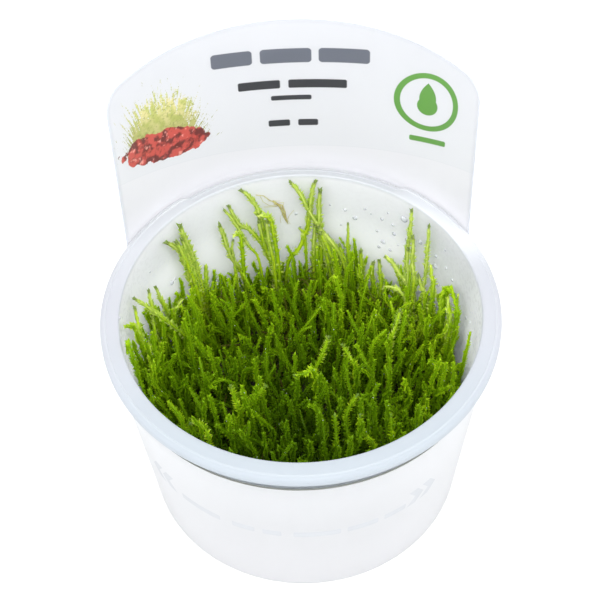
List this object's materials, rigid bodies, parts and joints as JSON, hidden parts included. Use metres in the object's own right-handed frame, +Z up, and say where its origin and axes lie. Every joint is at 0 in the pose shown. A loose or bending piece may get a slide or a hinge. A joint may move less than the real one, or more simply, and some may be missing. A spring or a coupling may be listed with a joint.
{
  "type": "java moss",
  "caption": "Dense stand of upright leafy moss shoots in a round open culture cup with a flanged rim, wrapped in a label sleeve whose curved tab stands up behind the rim.",
  "frame": {"origin": "middle of the cup's flat underside", "axes": "+Z up the cup, +Y towards the label's tab at the back, +X to the right as seen from the front"},
  "size_m": [0.095, 0.0957, 0.1085],
  "materials": {
    "cup_plastic": "milky, slightly see-through moulded plastic with a soft shine",
    "label_sheet": "thin white printed sheet, satin",
    "culture_gel": "wet, cloudy nutrient gel",
    "moss_green": "damp leafy shoots, lime green at the tips and deep green between them"
  },
  "bodies": {
    "root": {"cup": "cup_plastic", "label_sleeve": "label_sheet", "culture_gel": "culture_gel", "moss": "moss_green"}
  },
  "joints": []
}
